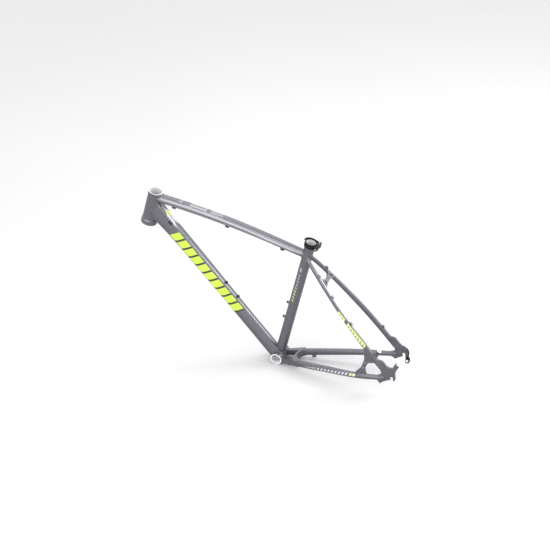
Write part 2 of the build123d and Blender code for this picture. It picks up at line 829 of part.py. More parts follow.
top_tube_guides = {"front": 0.866, "middle": 0.513, "rear": 0.152}
for place, fraction in top_tube_guides.items():
    local = across(top_tube_line @ fraction, top_tube_line % fraction)
    depth = 12.8 + 1.4 * min(fraction * 1.6, 1.0)
    with BuildPart() as top_tube_guide:
        add(tie_guide(local.origin - local.y_dir * depth, local.z_dir, -local.y_dir, 17, 9, 9))
        add(top_tube_envelope.part, mode=Mode.SUBTRACT)
    save(top_tube_guide, f"top_tube_guide_{place}")

with BuildLine():
    seatstay_line = Spline(*seatstay_route)


def stay_guide(route_index, blend, height):
    """Guide on top of the right seatstay, part of the way from one route point to the next."""
    ends = seatstay_route[route_index : route_index + 2]
    start, end = (seatstay_line.param_at_point(Vector(p)) for p in ends)
    at = start + (end - start) * blend
    local = across(seatstay_line @ at, seatstay_line % at)
    depth = seatstay_sizes[route_index][0] / 2
    guide = tie_guide(local.origin + local.y_dir * depth, local.z_dir, local.y_dir, 13, 7, height)
    return guide - seatstay_envelope.part


left_guides = {"upper": (1, 0.35, 5.0), "middle": (2, 0.45, 5.0), "lower": (3, 0.62, 5.5)}
for place, where in left_guides.items():
    with BuildPart() as seatstay_guide:
        add(about_centre(stay_guide(*where)))
    save(seatstay_guide, f"seatstay_guide_left_{place}")

right_guides = {"upper": (1, 0.4, 5.0), "lower": (4, 0.72, 5.0)}
for place, where in right_guides.items():
    with BuildPart() as seatstay_guide:
        add(stay_guide(*where))
    save(seatstay_guide, f"seatstay_guide_right_{place}")

# ---------------------------------------------------------------- cable stop under the right chainstay
stop_radius, stop_length, housing_radius, wire_radius = 4.8, 13.0, 2.6, 1.1
stop_along = Vector(0.97, 0.195, 0.075).normalized()
stop_centre = Vector(114, 40.8, -14.2)

with BuildPart() as chainstay_cable_stop:
    with BuildSketch(Plane(origin=stop_centre, z_dir=stop_along)):
        Circle(stop_radius)
    extrude(amount=stop_length / 2, both=True)
    with BuildSketch(Plane(origin=stop_centre, x_dir=stop_along, z_dir=(0, 0, 1))):
        RectangleRounded(stop_length - 2, 6, 1.5)
    extrude(amount=9)
    with BuildSketch(Plane(origin=stop_centre - stop_along * 3, z_dir=stop_along)):
        Circle(housing_radius)
    extrude(amount=20, mode=Mode.SUBTRACT)
    with BuildSketch(Plane(origin=stop_centre, z_dir=stop_along)):
        Circle(wire_radius)
    extrude(amount=20, both=True, mode=Mode.SUBTRACT)
    add(chainstay_envelope.part, mode=Mode.SUBTRACT)
save(chainstay_cable_stop, "chainstay_cable_stop")

# ---------------------------------------------------------------- mudguard boss behind the seat tube
guard_boss_height, guard_boss_radius, guard_boss_reach = 35.5, 5.0, 27.0
guard_relief_radius, guard_relief_reach = 3.0, 17.9  # thread run-out next to the tube
guard_boss_plane = Plane(origin=seat_up * guard_boss_height, x_dir=(0, 1, 0), z_dir=seat_back)
with BuildPart() as mudguard_boss:
    with BuildSketch(guard_boss_plane):
        Circle(guard_boss_radius)
        Circle(bolt_radius, mode=Mode.SUBTRACT)
    extrude(amount=guard_boss_reach)
    with BuildSketch(guard_boss_plane):
        Circle(guard_relief_radius)
    extrude(amount=guard_relief_reach, mode=Mode.SUBTRACT)
    add(seat_tube_envelope.part, mode=Mode.SUBTRACT)
save(mudguard_boss, "mudguard_boss")

# ---------------------------------------------------------------- seat clamp: collar
collar_bore, collar_radius = 17.5, 21.2
collar_foot, collar_height = 478.0, 12.6
lip_bore, lip_radius, lip_thickness, end_gap = 16.2, 18.8, 1.4, 0.3
ear_inner, ear_outer, ear_reach = 1.5, 9.6, 30.0
skewer_out, skewer_radius, skewer_hole = 23.5, 3.0, 3.05
clamp_middle = 484.3
spot_face_radius = 6.7

collar_plane = seat_frame.offset(collar_foot)
clamp_plane = seat_frame.offset(clamp_middle)
pin_out, pin_side = skewer_out, 20.5


def clamp_side_plane(side):
    """Plane facing the bike's right at a distance beside the seat tube, centred on the skewer."""
    centre = clamp_plane.from_local_coords(Vector(skewer_out, side, 0))
    return Plane(origin=centre, x_dir=seat_back, z_dir=(0, 1, 0))


with BuildPart() as seat_collar:
    with BuildSketch(collar_plane):
        Circle(collar_radius)
    extrude(amount=collar_height)
    chamfer(seat_collar.edges().filter_by(GeomType.CIRCLE), 0.8)
    with BuildSketch(collar_plane):
        with Locations(((ear_reach + collar_bore) / 2, 0)):
            RectangleRounded(ear_reach - collar_bore, 2 * ear_outer, 2.5)
    extrude(amount=collar_height)
    with BuildSketch(collar_plane.offset(collar_height)):
        Circle(lip_radius)
    extrude(amount=seat_tube_length + end_gap + lip_thickness - collar_foot - collar_height)
    with BuildSketch(collar_plane):
        Circle(collar_bore)
    extrude(amount=seat_tube_length + end_gap - collar_foot, mode=Mode.SUBTRACT)
    with BuildSketch(collar_plane):
        Circle(lip_bore)
    extrude(amount=2 * collar_height, mode=Mode.SUBTRACT)
    with BuildSketch(collar_plane):
        with Locations((ear_reach, 0)):
            Rectangle(2 * (ear_reach - lip_bore) + 6, 2 * ear_inner)
    extrude(amount=2 * collar_height, mode=Mode.SUBTRACT)
    with BuildSketch(clamp_side_plane(0)):
        Circle(skewer_hole)
    extrude(amount=ear_outer + 5, both=True, mode=Mode.SUBTRACT)
    with BuildSketch(clamp_side_plane(-ear_outer)):
        Circle(spot_face_radius)
    extrude(amount=-10, mode=Mode.SUBTRACT)
save(seat_collar, "seat_collar")

# ---------------------------------------------------------------- seat clamp: skewer, pin, saddle
rod_end, eye_radius, eye_thickness, pin_radius, pin_length = -16.8, 4.6, 6.4, 2.5, 13.0
eye_plane = Plane(
    origin=clamp_plane.from_local_coords(Vector(pin_out, pin_side, 0)), x_dir=seat_back, z_dir=seat_up
)

with BuildPart() as qr_skewer:
    with BuildSketch(clamp_side_plane(rod_end)):
        Circle(skewer_radius)
    extrude(amount=pin_side - rod_end - 2.8)
    with BuildSketch(eye_plane.offset(-eye_thickness / 2)):
        Circle(eye_radius)
    extrude(amount=eye_thickness)
    with BuildSketch(eye_plane):
        Circle(pin_radius)
    extrude(amount=eye_thickness, both=True, mode=Mode.SUBTRACT)
save(qr_skewer, "qr_skewer")

with BuildPart() as qr_pin:
    with BuildSketch(eye_plane.offset(-pin_length / 2)):
        Circle(pin_radius)
    extrude(amount=pin_length)
    chamfer(qr_pin.edges().filter_by(GeomType.CIRCLE), 0.3)
save(qr_pin, "qr_pin")

hub_radius, cam_throw = 8.0, 0.6
saddle_hollow, saddle_hollow_side = 9.4, 0.5  # wider than the hub, which swings off centre
hub_bottom, hub_top = clamp_middle - 6.5, clamp_middle + 6.5
saddle_half_width = 8.0

with BuildPart() as qr_saddle:
    with BuildSketch(clamp_side_plane(ear_outer + 0.02)):
        RectangleRounded(2 * saddle_half_width, hub_top - hub_bottom, 1.6)
    extrude(amount=5.2)
    with BuildSketch(eye_plane):
        with Locations((0, saddle_hollow_side)):
            Circle(saddle_hollow)
    extrude(amount=hub_top - hub_bottom, both=True, mode=Mode.SUBTRACT)
    with BuildSketch(clamp_plane):
        Circle(collar_radius + 0.1)
    extrude(amount=hub_top - hub_bottom, both=True, mode=Mode.SUBTRACT)
    with BuildSketch(clamp_side_plane(0)):
        Circle(skewer_hole)
    extrude(amount=30, mode=Mode.SUBTRACT)
save(qr_saddle, "qr_saddle")

# ---------------------------------------------------------------- seat clamp: lever
cheek_gap, cheek_hole, cheek_web = 6.6, 2.55, 4.9
arm_depth, arm_thickness = 9.6, 3.6
tip_hole, tip_hole_place = 4.6, 0.91  # width, and how far along the lever
# Outward, to the right, and up: the arm climbs as it wraps round the collar.
lever_route = [
    (pin_out, pin_side + 4, 0), (14, 26.8, 1.4), (0, 28.3, 3.0),
    (-12, 25.4, 4.2), (-20.8, 17.4, 5.0), (-24.6, 9.5, 5.4),
]

with BuildPart() as qr_lever:
    with BuildLine(clamp_plane) as lever_line:
        Spline(*lever_route)
    with BuildSketch(Plane(origin=lever_line.line @ 0, x_dir=seat_up, z_dir=lever_line.line % 0)):
        RectangleRounded(arm_depth, arm_thickness, 1.2)
    sweep()
    with BuildSketch(eye_plane.offset(hub_bottom - clamp_middle)):
        with Locations((0, -cam_throw)):
            Circle(hub_radius)
    extrude(amount=hub_top - hub_bottom)
    with BuildSketch(eye_plane.offset(-cheek_gap / 2)):
        with Locations((hub_radius - cheek_web, 0)):
            Rectangle(2 * hub_radius, 4 * hub_radius)
    extrude(amount=cheek_gap, mode=Mode.SUBTRACT)
    with BuildSketch(eye_plane):
        Circle(cheek_hole)
    extrude(amount=hub_radius, both=True, mode=Mode.SUBTRACT)
    # Finger hole through the lever's tip.
    tip_point, tip_run = lever_line.line @ tip_hole_place, lever_line.line % tip_hole_place
    with BuildSketch(Plane(origin=tip_point, x_dir=seat_up, z_dir=seat_up.cross(tip_run))):
        SlotOverall(1.5 * tip_hole, tip_hole, rotation=90)
    extrude(amount=arm_thickness, both=True, mode=Mode.SUBTRACT)
save(qr_lever, "qr_lever")

# ---------------------------------------------------------------- seat clamp: nut
nut_radius, nut_length, nut_bore, flutes = 6.3, 8.0, 3.05, 18

with BuildPart() as qr_nut:
    with BuildSketch(clamp_side_plane(-ear_outer - 0.02)):
        Circle(nut_radius)
        with PolarLocations(nut_radius + 0.25, flutes):
            Circle(0.7, mode=Mode.SUBTRACT)
    extrude(amount=-nut_length)
    with BuildSketch(clamp_side_plane(0)):
        Circle(nut_bore)
    extrude(amount=-40, mode=Mode.SUBTRACT)
save(qr_nut, "qr_nut")
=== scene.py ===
import json
from math import ceil, cos, pi, radians, sin, tau

import bmesh
import bpy
from mathutils import Matrix, Vector
from mathutils.bvhtree import BVHTree


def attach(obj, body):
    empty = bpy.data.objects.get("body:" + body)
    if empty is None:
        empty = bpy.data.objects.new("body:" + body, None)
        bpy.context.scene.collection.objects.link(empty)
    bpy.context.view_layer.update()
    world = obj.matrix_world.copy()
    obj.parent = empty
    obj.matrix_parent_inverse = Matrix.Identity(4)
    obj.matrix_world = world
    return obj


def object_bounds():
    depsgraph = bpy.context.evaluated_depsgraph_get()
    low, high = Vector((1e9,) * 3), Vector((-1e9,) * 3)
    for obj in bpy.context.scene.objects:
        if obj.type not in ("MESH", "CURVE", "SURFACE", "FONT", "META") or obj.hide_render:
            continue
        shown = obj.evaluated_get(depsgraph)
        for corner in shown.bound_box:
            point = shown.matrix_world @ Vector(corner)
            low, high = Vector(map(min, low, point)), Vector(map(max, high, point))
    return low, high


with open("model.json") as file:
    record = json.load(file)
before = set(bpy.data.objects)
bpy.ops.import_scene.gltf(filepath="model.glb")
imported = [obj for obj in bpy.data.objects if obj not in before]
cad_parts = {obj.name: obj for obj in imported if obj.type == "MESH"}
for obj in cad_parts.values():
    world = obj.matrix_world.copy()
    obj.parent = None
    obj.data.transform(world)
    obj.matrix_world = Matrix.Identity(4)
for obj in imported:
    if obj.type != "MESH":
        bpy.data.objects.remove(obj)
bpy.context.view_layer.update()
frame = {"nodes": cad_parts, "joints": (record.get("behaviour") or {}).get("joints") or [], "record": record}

# ---------------------------------------- directions and places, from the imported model
MM = 0.001
mount = {m["name"]: m for m in frame["record"]["mounts"]}
seat_up = Vector(mount["seatpost_bore"]["axis"]).normalized()
seat_back = Vector((seat_up.z, 0, -seat_up.x))
head_up = Vector(mount["headset_top"]["axis"]).normalized()
head_place = Vector(mount["headset_top"]["pos_m"])
down_tube_top = Vector(mount["bottle_cage_down_tube"]["axis"]).normalized()
down_tube_up = Vector((-down_tube_top.z, 0, down_tube_top.x))
axle = Vector(mount["rear_axle"]["pos_m"])
post_up = Vector(mount["disc_brake_posts"]["axis"]).normalized()
post_middle = Vector(mount["disc_brake_posts"]["pos_m"])
hanger_hole = Vector(mount["derailleur_hanger"]["pos_m"])
shell_bore_mm = mount["bb_shell"]["dims"]["r_mm"]
rear_x, across_y, up_z = Vector((1, 0, 0)), Vector((0, 1, 0)), Vector((0, 0, 1))

# ---------------------------------------- colours (linear)
ANTHRACITE = (0.086, 0.086, 0.099)
ANTHRACITE_LIGHT = (0.110, 0.110, 0.124)
FLAKE = (0.26, 0.26, 0.28)
BLACK = (0.0, 0.0, 0.0)
LIME = (0.44, 0.60, 0.045)
LIME_PALE = (0.56, 0.64, 0.20)
LIME_FADED = (0.55, 0.58, 0.36)
SILVER = (0.36, 0.36, 0.38)
SILVER_DARK = (0.30, 0.30, 0.32)
SILVER_LIGHT = (0.48, 0.48, 0.50)
SILVER_BLUE = (0.47, 0.47, 0.54)
OLIVE_DARK = (0.020, 0.024, 0.014)
OLIVE = (0.06, 0.065, 0.04)
BARE = (0.62, 0.62, 0.63)


# ---------------------------------------- node graph helpers
class Graph:
    """One material: a Principled shader, and short calls for the nodes that drive it."""

    def __init__(self, name):
        self.material = bpy.data.materials.new(name)
        self.material.use_nodes = True
        self.tree = self.material.node_tree
        self.tree.nodes.clear()
        output = self.tree.nodes.new("ShaderNodeOutputMaterial")
        self.shader = self.tree.nodes.new("ShaderNodeBsdfPrincipled")
        self.tree.links.new(self.shader.outputs[0], output.inputs[0])
        where = self.tree.nodes.new("ShaderNodeTexCoord")
        self.place, self.normal = where.outputs["Object"], where.outputs["Normal"]

    def put(self, socket, value):
        if isinstance(value, bpy.types.NodeSocket):
            self.tree.links.new(value, socket)
        elif hasattr(value, "__len__") and socket.type == "RGBA" and len(value) == 3:
            socket.default_value = (*value, 1.0)
        else:
            socket.default_value = value

    def math(self, operation, a, b=0.0, c=0.0, clamp=False):
        node = self.tree.nodes.new("ShaderNodeMath")
        node.operation = operation
        node.use_clamp = clamp
        for socket, value in zip(node.inputs, (a, b, c)):
            self.put(socket, value)
        return node.outputs[0]

    def vector(self, operation, a, b, output=0):
        node = self.tree.nodes.new("ShaderNodeVectorMath")
        node.operation = operation
        self.put(node.inputs[0], a)
        self.put(node.inputs[1], b)
        return node.outputs[output]

    def along(self, direction, start=(0, 0, 0)):
        """Distance in mm along a direction from a point."""
        moved = self.vector("SUBTRACT", self.place, Vector(start))
        dot = self.vector("DOT_PRODUCT", moved, Vector(direction), output=1)
        return self.math("MULTIPLY", dot, 1000.0)

    def outer_side(self):
        """1 on faces that look away from the bicycle's middle plane."""
        across = self.vector("DOT_PRODUCT", self.normal, across_y, output=1)
        side = self.math("SIGN", self.along(across_y))
        return self.step(self.math("MULTIPLY", across, side), 0.12, 0.1)

    def radius(self, axis, start=(0, 0, 0)):
        """Distance in mm from an axis."""
        moved = self.vector("SUBTRACT", self.place, Vector(start))
        cross = self.vector("CROSS_PRODUCT", moved, Vector(axis))
        node = self.tree.nodes.new("ShaderNodeVectorMath")
        node.operation = "LENGTH"
        self.put(node.inputs[0], cross)
        return self.math("MULTIPLY", node.outputs["Value"], 1000.0)

    def step(self, value, edge, soft=0.25):
        """0 below the edge, 1 above it."""
        node = self.tree.nodes.new("ShaderNodeMapRange")
        node.interpolation_type = "SMOOTHSTEP"
        for socket, number in zip(node.inputs, (value, edge - soft, edge + soft, 0.0, 1.0)):
            self.put(socket, number)
        return node.outputs[0]

    def band(self, value, low, high, soft=0.25):
        """1 between low and high."""
        above = self.step(value, low, soft)
        return self.math("SUBTRACT", above, self.step(value, high, soft), clamp=True)

    def all_of(self, *masks):
        result = masks[0]
        for mask in masks[1:]:
            result = self.math("MULTIPLY", result, mask)
        return result

    def any_of(self, *masks):
        result = masks[0]
        for mask in masks[1:]:
            result = self.math("MAXIMUM", result, mask)
        return result

    def mix(self, amount, a, b):
        """From colour a to colour b."""
        node = self.tree.nodes.new("ShaderNodeMix")
        node.data_type = "RGBA"
        for index, value in ((0, amount), (6, a), (7, b)):
            self.put(node.inputs[index], value)
        return node.outputs[2]

    def blend(self, amount, a, b):
        """From number a to number b."""
        node = self.tree.nodes.new("ShaderNodeMix")
        for index, value in ((0, amount), (2, a), (3, b)):
            self.put(node.inputs[index], value)
        return node.outputs[0]

    def noise(self, scale, detail=2.0, rough=0.5):
        node = self.tree.nodes.new("ShaderNodeTexNoise")
        self.put(node.inputs["Vector"], self.place)
        node.inputs["Scale"].default_value = scale
        node.inputs["Detail"].default_value = detail
        node.inputs["Roughness"].default_value = rough
        return node.outputs[0]

    def cells(self, scale):
        """A random shade for each small cell."""
        node = self.tree.nodes.new("ShaderNodeTexVoronoi")
        self.put(node.inputs["Vector"], self.place)
        node.inputs["Scale"].default_value = scale
        return node.outputs["Color"]

    def bump(self, height, strength, distance):
        node = self.tree.nodes.new("ShaderNodeBump")
        node.inputs["Strength"].default_value = strength
        node.inputs["Distance"].default_value = distance
        self.put(node.inputs["Height"], height)
        return node.outputs[0]

    def crown(self, across, rise):
        """A shading normal for faces that bulge a little across their width, by rise per mm squared."""
        square = self.math("MULTIPLY", across, across)
        return self.bump(self.math("MULTIPLY", square, -rise * MM), 1.0, 1.0)

    def finish(
        self, color, metallic, roughness, height, strength=0.25, distance=0.0002, specular=0.5, under=None
    ):
        """The material, with a fine bump from height laid over the shading normal given as under."""
        self.put(self.shader.inputs["Base Color"], color)
        self.put(self.shader.inputs["Metallic"], metallic)
        self.put(self.shader.inputs["Roughness"], roughness)
        self.shader.inputs["Specular IOR Level"].default_value = specular
        normal = self.bump(height, strength, distance)
        if under:
            self.put(normal.node.inputs["Normal"], under)
        self.put(self.shader.inputs["Normal"], normal)
        return self.material


def turned_rings(graph, distance, pitch=0.28):
    """Fine tool marks left by turning, every pitch mm."""
    return graph.math("SINE", graph.math("MULTIPLY", distance, tau / pitch))


def painted(name, graphics=None, bare=None, crown=None):
    """Satin metallic anthracite paint. graphics and bare get the graph and return masks over it."""
    g = Graph(name)
    cloud = g.noise(9.0, 3.0)
    color = g.mix(cloud, ANTHRACITE, ANTHRACITE_LIGHT)
    flake = g.cells(5200.0)
    color = g.mix(g.math("MULTIPLY", g.step(flake, 0.8, 0.1), 0.35), color, FLAKE)
    metallic = g.math("MULTIPLY_ADD", flake, 0.1, 0.55)
    dust = g.noise(60.0, 4.0, 0.6)
    roughness = g.math("MULTIPLY_ADD", dust, 0.10, 0.23)
    peel = g.math("MULTIPLY_ADD", g.noise(700.0, 2.0), 0.5, g.math("MULTIPLY", flake, 0.12))
    for mask, paint_color in graphics(g) if graphics else ():
        tint = g.mix(g.math("MULTIPLY", g.noise(40.0), 0.25), paint_color, BLACK)
        color = g.mix(mask, color, tint)
        metallic = g.blend(mask, metallic, 0.0)
        roughness = g.blend(mask, roughness, 0.42)
    if bare:
        mask, marks = bare(g)
        scratch = g.noise(300.0, 5.0, 0.7)
        metal = g.mix(scratch, Vector(BARE) * 0.85, Vector(BARE) * 1.25)
        color = g.mix(mask, color, metal)
        metallic = g.blend(mask, metallic, 0.25)
        roughness = g.blend(mask, roughness, g.math("MULTIPLY_ADD", scratch, 0.14, 0.28))
        peel = g.blend(mask, peel, g.math("MULTIPLY_ADD", marks, 0.25, scratch))
    under = g.crown(g.along(across_y), crown) if crown else None
    return g.finish(color, metallic, roughness, peel, strength=0.22, distance=0.00012, under=under)


# ---------------------------------------- painted graphics
def slanted(graph, along, up, slant):
    """A coordinate whose lines lean over the tube."""
    return graph.math("MULTIPLY_ADD", up, slant, along)


def row(graph, along, first, pitch, length, count):
    """Bands of one length, evenly spaced from the first one's start."""
    starts = [first + pitch * k for k in range(count)]
    return [graph.band(along, start, start + length) for start in starts]


def down_tube_graphics(g):
    """A dark panel with an even row of plain slanted lime blocks, and a pale flash at the top."""
    s, h = g.along(down_tube_up), g.along(down_tube_top)
    side = g.math("ABSOLUTE", g.along(across_y))
    lean = slanted(g, s, h, 0.40)
    flank = g.all_of(g.step(side, 12.2, 0.4), g.band(h, -19.0, 14.6, 0.4))
    panel = g.all_of(flank, g.band(lean, 211.0, 566.0))
    lime = g.all_of(flank, g.any_of(*row(g, lean, 218.0, 35.4, 27.4, 10)))
    top = g.all_of(g.step(h, 18.6, 0.4), g.band(side, 1.5, 13.0, 0.4))
    flash = g.all_of(top, g.band(slanted(g, s, side, 2.2), 601.0, 655.0, 0.5))
    tip = g.all_of(flash, g.step(s, 622.0, 0.5))
    return [(panel, OLIVE_DARK), (lime, LIME), (flash, SILVER_BLUE), (tip, LIME_PALE)]


def seat_tube_graphics(g):
    """A short dashed mark on the side, silver above and lime below."""
    s, back = g.along(seat_up), g.along(seat_back)
    side = g.math("ABSOLUTE", g.along(across_y))
    lean = slanted(g, s, back, 0.8)
    dashes = [g.band(lean, 376.0, 392.0), *row(g, lean, 250.0, 13.5, 6.0, 9)]
    strip = g.all_of(g.band(back, -7.5, -1.0), g.step(side, 5.0), g.any_of(*dashes))
    lower = g.math("SUBTRACT", 1.0, g.step(s, 315.0, 20.0))
    return [(g.math("MULTIPLY", strip, 0.75), g.mix(lower, SILVER, LIME_PALE))]


# Each stroke's start and length along the top tube, and its lower and upper edges.
TOP_TUBE_STROKES = (
    (425, 46, 488.6, 490.2), (476, 30, 485.4, 486.6), (500, 62, 488.6, 490.2),
    (548, 70, 485.0, 486.2), (575, 46, 488.8, 490.2),
)


def top_tube_graphics(g):
    """Long slanted silver strokes near the head tube, and a fine silver line along each side's lower crease,
    a painted highlight where that crease catches the light.
    """
    x, z = g.along(rear_x), g.along(up_z)
    side = g.math("ABSOLUTE", g.along(across_y))
    height = g.math("MULTIPLY_ADD", x, 0.232, z)
    lean = slanted(g, x, height, 1.6)
    strokes = []
    for start, length, low, high in TOP_TUBE_STROKES:
        strokes.append(g.all_of(g.band(lean, start, start + length), g.band(height, low, high)))
    strokes = g.all_of(g.band(side, 3.0, 13.0, 0.5), g.any_of(*strokes))
    # painted highlight: a thin silver line along the lower crease on each side, standing in for the crease's
    # reflection
    crease_highlight = g.all_of(g.band(side, 13.2, 15.6, 0.4), g.band(x, -385.0, 95.0, 20.0))
    return [(g.math("MULTIPLY", strokes, 0.8), SILVER), (g.math("MULTIPLY", crease_highlight, 0.75), SILVER)]


def seatstay_graphics(g):
    """Lime marks with dark notches between them on the outer side, with a gap at the cable guide."""
    x, z = g.along(rear_x), g.along(up_z)
    run = g.math("MULTIPLY_ADD", x, 0.62, g.math("MULTIPLY", z, -0.78))
    height = g.math("MULTIPLY_ADD", x, 0.78, g.math("MULTIPLY", z, 0.62))
    rise = g.math("SUBTRACT", height, g.math("MULTIPLY_ADD", run, 0.035, 357.5))
    lean = slanted(g, run, rise, 0.5)
    gap = g.math("SUBTRACT", 1.0, g.band(lean, -12.0, 2.0, 0.4))
    strip = g.all_of(g.band(rise, -6.5, 5.5, 0.4), g.band(lean, -47.0, 96.0, 0.4), gap, g.outer_side())
    notches = row(g, lean, 10.0, 12.6, 3.6, 7) + row(g, lean, -38.0, 13.0, 3.6, 2)
    notched = g.all_of(strip, g.any_of(*notches), g.band(rise, -7.0, 2.5))
    return [(strip, LIME_PALE), (notched, OLIVE)]


def chainstay_graphics(g):
    """A silver taper, then a row of slanted silver marks and a pale double block."""
    x, z = g.along(rear_x), g.along(up_z)
    rise = g.math("SUBTRACT", z, g.math("MULTIPLY_ADD", x, 0.125, -13.0))
    lean = slanted(g, x, rise, -0.55)
    half = g.math("MULTIPLY", g.math("SUBTRACT", x, 100.0), 0.085)
    within = g.math("LESS_THAN", g.math("ABSOLUTE", rise), half)
    taper = g.all_of(within, g.band(lean, 100.0, 156.0, 0.5), g.outer_side())
    strip = g.all_of(g.band(rise, -5.6, 4.6), g.outer_side())
    marks = g.all_of(strip, g.any_of(*row(g, lean, 162.0, 13.4, 7.4, 9)))
    blocks = g.all_of(strip, g.any_of(g.band(lean, 284.0, 292.0), g.band(lean, 295.0, 306.0)))
    return [(taper, SILVER_DARK), (marks, SILVER_LIGHT), (blocks, LIME_FADED)]


# ---------------------------------------- bare machined places
def shell_bare(g):
    side, out = g.math("ABSOLUTE", g.along(across_y)), g.radius(across_y)
    face = g.all_of(g.step(side, 36.2, 0.1), g.math("SUBTRACT", 1.0, g.step(out, 20.9, 0.15)))
    inside = g.math("SUBTRACT", 1.0, g.step(out, 18.9, 0.1))
    return g.any_of(face, inside), turned_rings(g, out)


def head_tube_bare(g):
    along, out = g.along(head_up, head_place), g.radius(head_up, head_place)
    inside = g.math("SUBTRACT", 1.0, g.step(out, 22.7, 0.05))
    low = g.all_of(g.math("LESS_THAN", along, -90.0), g.math("LESS_THAN", out, 25.4))
    rim = g.math("MULTIPLY", g.step(along, 7.05, 0.1), 0.75)
    foot = g.math("LESS_THAN", along, -122.6)
    return g.any_of(inside, low, rim, foot), turned_rings(g, g.math("ADD", along, out))


def seat_tube_bare(g):
    out = g.radius(seat_up)
    return g.math("SUBTRACT", 1.0, g.step(out, 16.6, 0.1)), turned_rings(g, g.along(seat_up), 0.5)


def dropout_bare(g):
    out = g.radius(across_y, axle)
    slot = g.math("LESS_THAN", out, 5.2)
    post_top = g.all_of(
        g.step(g.along(post_up, post_middle), -0.3, 0.1), g.math("LESS_THAN", g.along(across_y), -50.0)
    )
    return g.math("MULTIPLY", g.any_of(slot, post_top), 0.8), turned_rings(g, out)


def post_bare(g):
    return g.step(g.along(post_up, post_middle), -0.3, 0.1), turned_rings(g, g.radius(post_up, post_middle))


# ---------------------------------------- the other materials
def anodised(name, axis, start):
    """Black anodised aluminium with faint turning and handling marks, paler along worn edges."""
    g = Graph(name)
    wear = g.noise(220.0, 5.0, 0.65)
    color = g.mix(g.step(wear, 0.66, 0.05), (0.018, 0.018, 0.020), (0.075, 0.075, 0.080))
    grain = turned_rings(g, g.radius(axis, start), 0.35)
    roughness = g.math("MULTIPLY_ADD", g.noise(90.0, 3.0), 0.16, 0.24)
    height = g.math("MULTIPLY_ADD", grain, 0.3, g.noise(1500.0, 2.0))
    return g.finish(color, 0.85, roughness, height, strength=0.15, distance=0.0001)


def black_steel():
    g = Graph("black_oxide_steel")
    spots = g.noise(500.0, 4.0, 0.7)
    color = g.mix(spots, (0.014, 0.014, 0.016), (0.040, 0.040, 0.043))
    roughness = g.math("MULTIPLY_ADD", spots, 0.2, 0.28)
    return g.finish(color, 0.9, roughness, g.noise(2500.0, 2.0), strength=0.2, distance=0.00008)


def plated_steel():
    """Zinc-plated steel, with its thread towards the nut."""
    g = Graph("zinc_plated_steel")
    along = g.along(across_y)
    thread = g.math("MULTIPLY", g.math("LESS_THAN", along, -6.0), g.math("PINGPONG", along, 0.4))
    haze = g.noise(150.0, 4.0, 0.6)
    color = g.mix(haze, (0.50, 0.50, 0.50), (0.68, 0.67, 0.63))
    roughness = g.math("MULTIPLY_ADD", haze, 0.2, 0.2)
    height = g.math("MULTIPLY_ADD", thread, 2.5, g.math("MULTIPLY", haze, 0.1))
    return g.finish(color, 1.0, roughness, height, strength=0.8, distance=0.0003)


def moulded(name, color, roughness_low):
    """Matt moulded polymer with a fine spark-eroded grain."""
    g = Graph(name)
    cloud = g.noise(120.0, 3.0)
    tint = g.mix(cloud, color, Vector(color) * 1.7)
    roughness = g.math("MULTIPLY_ADD", cloud, 0.15, roughness_low)
    return g.finish(tint, 0.0, roughness, g.noise(3200.0, 3.0, 0.7), strength=0.35, distance=0.0001)


def hanger_finish():
    """Bead-blasted dark alloy with a threaded, bright eye."""
    g = Graph("blasted_dark_alloy")
    out = g.radius(across_y, hanger_hole)
    bright = g.math("SUBTRACT", 1.0, g.step(out, 5.25, 0.1))
    blast = g.noise(2600.0, 3.0, 0.7)
    body = g.mix(blast, (0.020, 0.020, 0.022), (0.045, 0.045, 0.048))
    color = g.mix(bright, body, (0.45, 0.45, 0.46))
    thread = g.math("MULTIPLY", g.math("PINGPONG", g.along(across_y), 0.5), bright)
    height = g.math("MULTIPLY_ADD", thread, 2.0, blast)
    roughness = g.math("MULTIPLY_ADD", blast, 0.15, 0.33)
    return g.finish(color, 0.8, roughness, height, strength=0.3, distance=0.0002)


paint = painted("satin_anthracite")
lever_place = next(j for j in frame["joints"] if j["name"] == "lever_hinge")["pos_m"]
black_lever = anodised("black_anodised_lever", seat_up, lever_place)
black_collar = anodised("black_anodised_collar", seat_up, (0, 0, 0))
steel_black, steel_plated = black_steel(), plated_steel()
rubber = moulded("grommet_rubber", (0.012, 0.012, 0.012), 0.55)
plastic = moulded("saddle_polymer", (0.016, 0.016, 0.017), 0.45)

finish_of = {name: paint for name in frame["record"]["behaviour"]["bodies"]["frame"]}
finish_of.update(
    head_tube=painted("head_tube_paint", bare=head_tube_bare),
    bb_shell=painted("bb_shell_paint", bare=shell_bare),
    seat_tube=painted("seat_tube_paint", graphics=seat_tube_graphics, bare=seat_tube_bare),
    down_tube=painted("down_tube_paint", graphics=down_tube_graphics, crown=0.008),
    top_tube=painted("top_tube_paint", graphics=top_tube_graphics, crown=0.012),
    dropout_left=painted("dropout_paint", bare=dropout_bare),
    brake_post_front=painted("post_paint", bare=post_bare),
    derailleur_hanger=hanger_finish(),
    hanger_bolts=steel_black,
    down_tube_bottle_bolts=steel_black,
    seat_tube_bottle_bolts=steel_black,
    cable_port_grommet=rubber,
    seat_collar=black_collar,
    qr_nut=anodised("black_anodised_nut", across_y, lever_place),
    qr_lever=black_lever,
    qr_saddle=plastic,
    qr_skewer=steel_plated,
    qr_pin=steel_plated,
)
finish_of["dropout_right"] = finish_of["dropout_left"]
seatstay_paint = painted("seatstay_paint", graphics=seatstay_graphics)
chainstay_paint = painted("chainstay_paint", graphics=chainstay_graphics)
for side in ("left", "right"):
    finish_of[f"seatstay_{side}"] = seatstay_paint
    finish_of[f"chainstay_{side}"] = chainstay_paint

for name, node in frame["nodes"].items():
    node.data.materials.clear()
    node.data.materials.append(finish_of[name])


